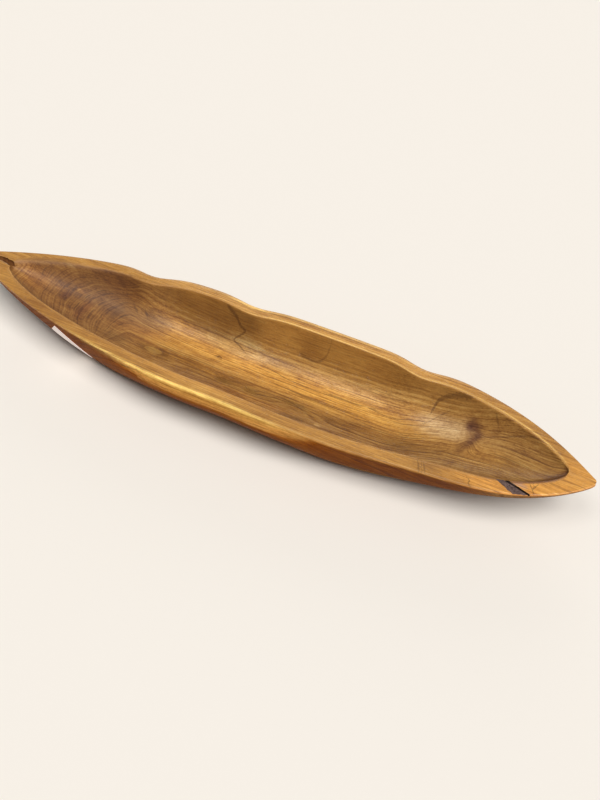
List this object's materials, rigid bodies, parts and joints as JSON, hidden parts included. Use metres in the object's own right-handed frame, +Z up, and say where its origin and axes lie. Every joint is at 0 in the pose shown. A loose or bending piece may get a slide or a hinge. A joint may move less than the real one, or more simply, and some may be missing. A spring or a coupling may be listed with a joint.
{
  "type": "canoe bowl",
  "caption": "Long canoe-shaped dish carved from one piece of teak, pointed at both ends, with a gently scalloped rim and a flat foot",
  "frame": {"origin": "The middle of the flat foot, on the surface the bowl stands on", "axes": "+X along the bowl to its narrow end with the bark pocket, +Y to the side with three scallops, +Z up"},
  "size_m": [0.7, 0.1455, 0.06],
  "materials": {
    "teak": "satin"
  },
  "bodies": {
    "root": {"bowl": "teak"}
  },
  "joints": []
}
